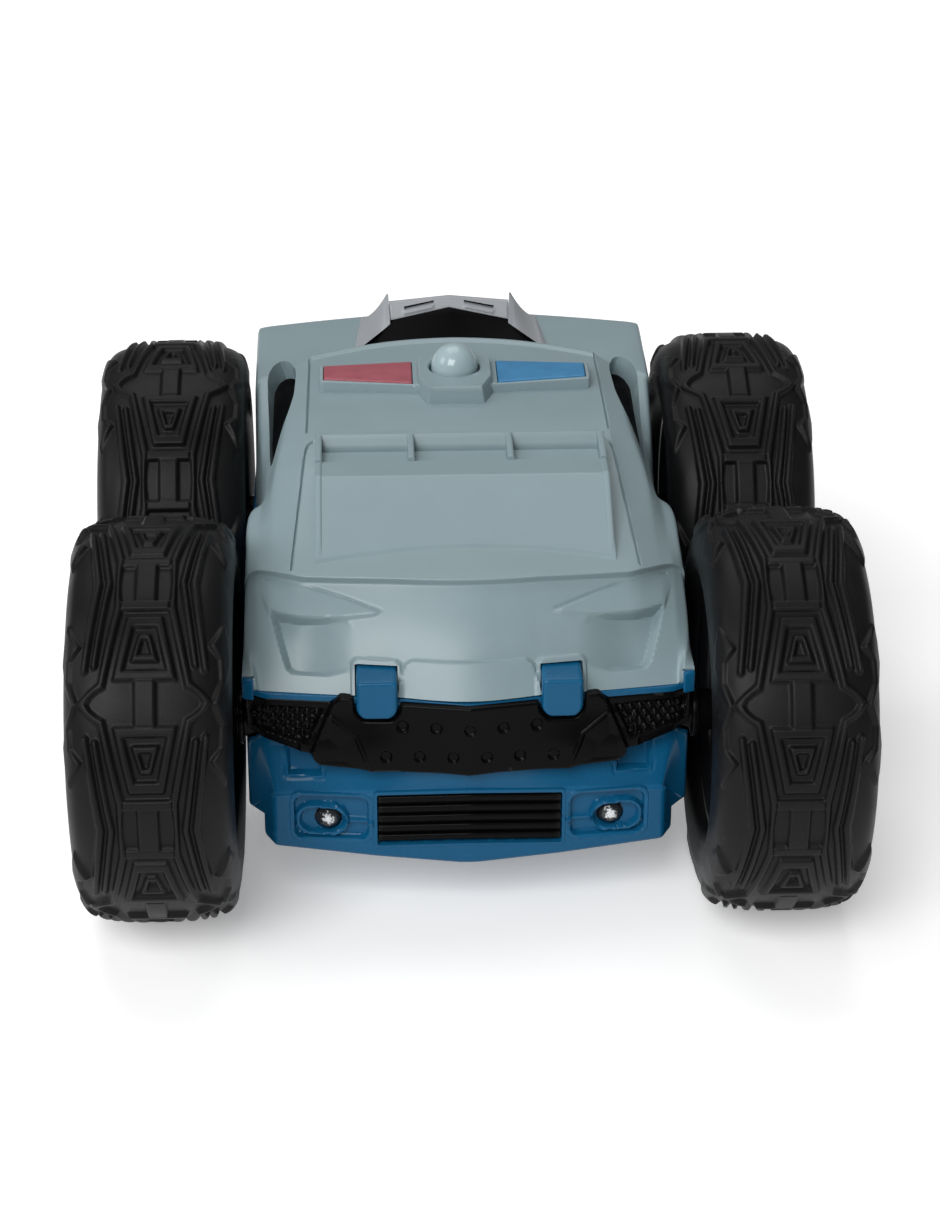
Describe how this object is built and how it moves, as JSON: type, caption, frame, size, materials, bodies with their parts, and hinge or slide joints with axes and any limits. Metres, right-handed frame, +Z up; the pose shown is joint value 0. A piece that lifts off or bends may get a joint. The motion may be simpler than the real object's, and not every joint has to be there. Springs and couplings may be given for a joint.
{
  "type": "rc stunt car",
  "caption": "Remote-control stunt car with oversized treaded tyres, a two-part body, bonnet scoop, roof light bar with a push button, rear wing and geared rear-wheel drive.",
  "frame": {"origin": "on the ground, under the middle of the wheelbase", "axes": "-Y towards the nose, +X towards the right of the picture, +Z up"},
  "size_m": [0.1566, 0.1716, 0.0869],
  "materials": {
    "body_grey": "satin moulded plastic, grey-blue",
    "shell_blue": "satin moulded plastic, dark blue",
    "black_plastic": "satin black plastic",
    "window_black": "glossy black panel",
    "rim_black": "glossy black plastic",
    "rubber": "soft matt rubber",
    "light_grey": "satin light grey plastic",
    "lamp_red": "tinted lens, frosted",
    "lamp_blue": "tinted lens, frosted",
    "lamp_clear": "clear epoxy lamp body",
    "steel": "plain steel",
    "gear_white": "natural nylon",
    "board_green": "circuit board lacquer",
    "battery_wrap": "shrink wrap"
  },
  "bodies": {
    "chassis": {"upper_shell": "body_grey", "lower_shell": "shell_blue", "front_bumper": "black_plastic", "rear_bumper": "black_plastic", "hood_scoop": "body_grey", "light_bar": "body_grey", "red_lamp": "lamp_red", "blue_lamp": "lamp_blue", "button_switch": "board_green", "rear_spoiler": "light_grey", "rear_window": "window_black", "side_window_left": "window_black", "side_window_right": "window_black", "grille_insert": "black_plastic", "headlamp_left": "lamp_clear", "headlamp_right": "lamp_clear", "battery_pack": "battery_wrap", "power_switch": "steel", "circuit_board": "board_green", "gearbox_left": "black_plastic", "gearbox_right": "black_plastic", "motor_left": "steel", "motor_right": "steel", "axle_bush_front_left": "black_plastic", "axle_bush_front_right": "black_plastic", "axle_bush_rear_left": "black_plastic", "axle_bush_rear_right": "black_plastic"},
    "wheel_front_left": {"tyre_front_left": "rubber", "rim_front_left": "rim_black", "axle_front_left": "steel", "wheel_nut_front_left": "steel", "axle_collar_front_left": "steel"},
    "wheel_front_right": {"tyre_front_right": "rubber", "rim_front_right": "rim_black", "axle_front_right": "steel", "wheel_nut_front_right": "steel", "axle_collar_front_right": "steel"},
    "wheel_rear_left": {"tyre_rear_left": "rubber", "rim_rear_left": "rim_black", "axle_rear_left": "steel", "wheel_nut_rear_left": "steel", "axle_gear_rear_left": "gear_white"},
    "wheel_rear_right": {"tyre_rear_right": "rubber", "rim_rear_right": "rim_black", "axle_rear_right": "steel", "wheel_nut_rear_right": "steel", "axle_gear_rear_right": "gear_white"},
    "reduction_left": {"reduction_gear_left": "gear_white"},
    "reduction_right": {"reduction_gear_right": "gear_white"},
    "pinion_left": {"motor_pinion_left": "steel"},
    "pinion_right": {"motor_pinion_right": "steel"},
    "button": {"beacon_button": "light_grey"},
    "switch_knob": {"power_switch_knob": "black_plastic"},
    "door": {"battery_door": "shell_blue", "battery_door_screw": "steel"}
  },
  "joints": [
    {"name": "wheel_front_left_spin", "type": "hinge", "parent": "chassis", "child": "wheel_front_left", "pos_m": [-0.06205, -0.045, 0.0408], "axis": [1, 0, 0], "continuous": true},
    {"name": "wheel_front_right_spin", "type": "hinge", "parent": "chassis", "child": "wheel_front_right", "pos_m": [0.06205, -0.045, 0.0408], "axis": [1, 0, 0], "continuous": true},
    {"name": "wheel_rear_left_spin", "type": "hinge", "parent": "chassis", "child": "wheel_rear_left", "pos_m": [-0.06205, 0.045, 0.0408], "axis": [1, 0, 0], "continuous": true},
    {"name": "wheel_rear_right_spin", "type": "hinge", "parent": "chassis", "child": "wheel_rear_right", "pos_m": [0.06205, 0.045, 0.0408], "axis": [1, 0, 0], "continuous": true},
    {"name": "reduction_left_spin", "type": "hinge", "parent": "chassis", "child": "reduction_left", "pos_m": [-0.0285, 0.024, 0.0408], "axis": [1, 0, 0], "continuous": true},
    {"name": "reduction_right_spin", "type": "hinge", "parent": "chassis", "child": "reduction_right", "pos_m": [0.0285, 0.024, 0.0408], "axis": [1, 0, 0], "continuous": true},
    {"name": "pinion_left_spin", "type": "hinge", "parent": "chassis", "child": "pinion_left", "pos_m": [-0.0285, 0.009, 0.0408], "axis": [1, 0, 0], "continuous": true},
    {"name": "pinion_right_spin", "type": "hinge", "parent": "chassis", "child": "pinion_right", "pos_m": [0.0285, 0.009, 0.0408], "axis": [1, 0, 0], "continuous": true},
    {"name": "button_press", "type": "slide", "parent": "chassis", "child": "button", "axis": [0, 0, -1], "range_m": [0, 0.0015], "stiffness_N_per_m": 400, "springref_m": -0.0005},
    {"name": "switch_slide", "type": "slide", "parent": "chassis", "child": "switch_knob", "axis": [1, 0, 0], "range_m": [0, 0.004]},
    {"name": "door_swing", "type": "hinge", "parent": "chassis", "child": "door", "pos_m": [0, -0.0287, 0.0125], "axis": [-1, 0, 0], "range_deg": [0, 80]}
  ],
  "couplings": [
    {"joint": "reduction_left_spin", "follows": "wheel_rear_left_spin", "ratio": -2.5},
    {"joint": "reduction_right_spin", "follows": "wheel_rear_right_spin", "ratio": -2.5},
    {"joint": "pinion_left_spin", "follows": "wheel_rear_left_spin", "ratio": 10},
    {"joint": "pinion_right_spin", "follows": "wheel_rear_right_spin", "ratio": 10}
  ]
}
